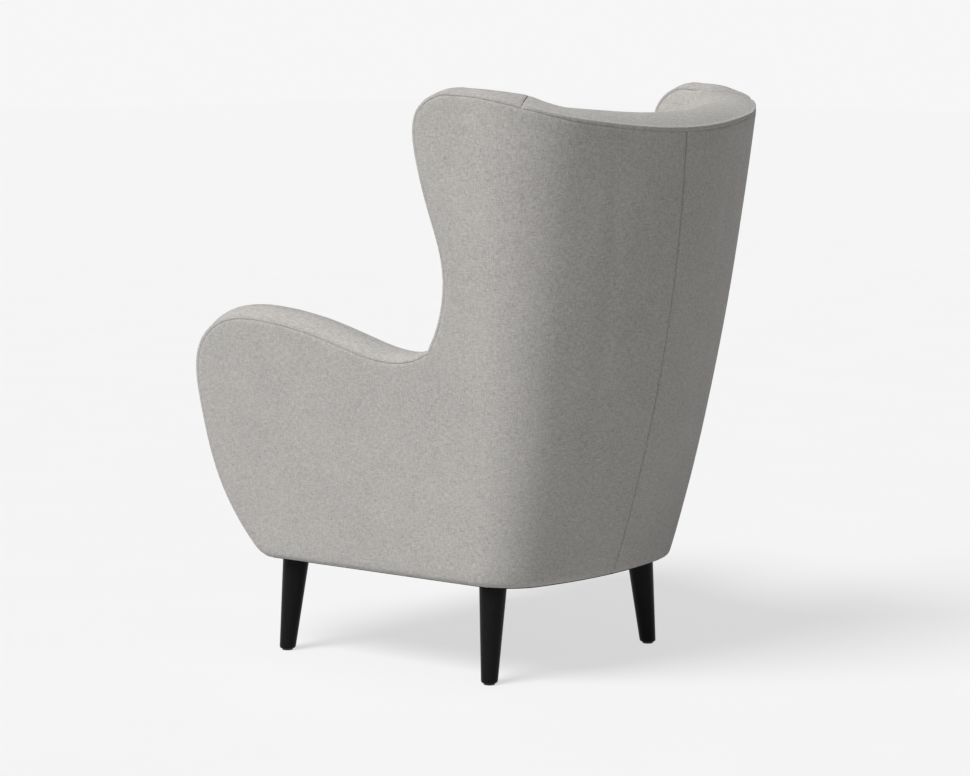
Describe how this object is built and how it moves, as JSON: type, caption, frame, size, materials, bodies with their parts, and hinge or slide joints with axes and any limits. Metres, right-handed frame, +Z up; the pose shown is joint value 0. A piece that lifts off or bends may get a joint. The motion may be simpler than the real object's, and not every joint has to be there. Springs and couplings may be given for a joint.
{
  "type": "wingback armchair",
  "caption": "Upholstered wingback armchair with a curved shell, crowned bands over the arms, wings and back, a loose seat cushion and splayed round tapered legs.",
  "frame": {"origin": "on the floor, under the middle of the chair's box", "axes": "+X across the chair to the sitter's left, -Y the way the sitter faces, +Z up"},
  "size_m": [0.7764, 0.8547, 1.0522],
  "materials": {
    "cover_fabric": "light warm grey woven cloth",
    "inside_fabric": "light warm grey woven cloth over foam",
    "cushion_fabric": "light warm grey woven cloth over foam",
    "deck_fabric": "plain platform cloth over foam",
    "plywood": "raw plywood",
    "timber": "raw hardwood",
    "webbing": "woven elastic",
    "dust_cloth": "thin black cloth",
    "black_lacquered_wood": "black satin lacquer",
    "glide_plastic": "matt",
    "bolt_steel": "zinc plated"
  },
  "bodies": {
    "chair": {"back_webbing": "webbing", "corner_blocks": "timber", "crest_rail": "timber", "dust_cover": "dust_cloth", "front_border": "inside_fabric", "front_seat_rail": "timber", "glides": "glide_plastic", "hanger_bolts": "bolt_steel", "inside_back_pad": "inside_fabric", "left_arm_band": "cover_fabric", "left_arm_pad": "inside_fabric", "left_back_post": "timber", "left_outside_cover": "cover_fabric", "left_seat_rail": "timber", "left_side_panel": "plywood", "left_wing_band": "cover_fabric", "left_wing_pad": "inside_fabric", "left_wing_panel": "plywood", "legs": "black_lacquered_wood", "lower_back_rail": "timber", "middle_back_rail": "timber", "rear_seat_rail": "timber", "right_arm_band": "cover_fabric", "right_arm_pad": "inside_fabric", "right_back_post": "timber", "right_outside_cover": "cover_fabric", "right_seat_rail": "timber", "right_side_panel": "plywood", "right_wing_band": "cover_fabric", "right_wing_pad": "inside_fabric", "right_wing_panel": "plywood", "seat_deck": "deck_fabric", "seat_webbing": "webbing", "threaded_inserts": "bolt_steel", "top_band": "cover_fabric"},
    "cushion": {"seat_cushion": "cushion_fabric"}
  },
  "joints": [
    {"name": "seat_cushion_lift", "type": "slide", "parent": "chair", "child": "cushion", "axis": [0, 0, 1], "range_m": [0, 0.34]}
  ]
}
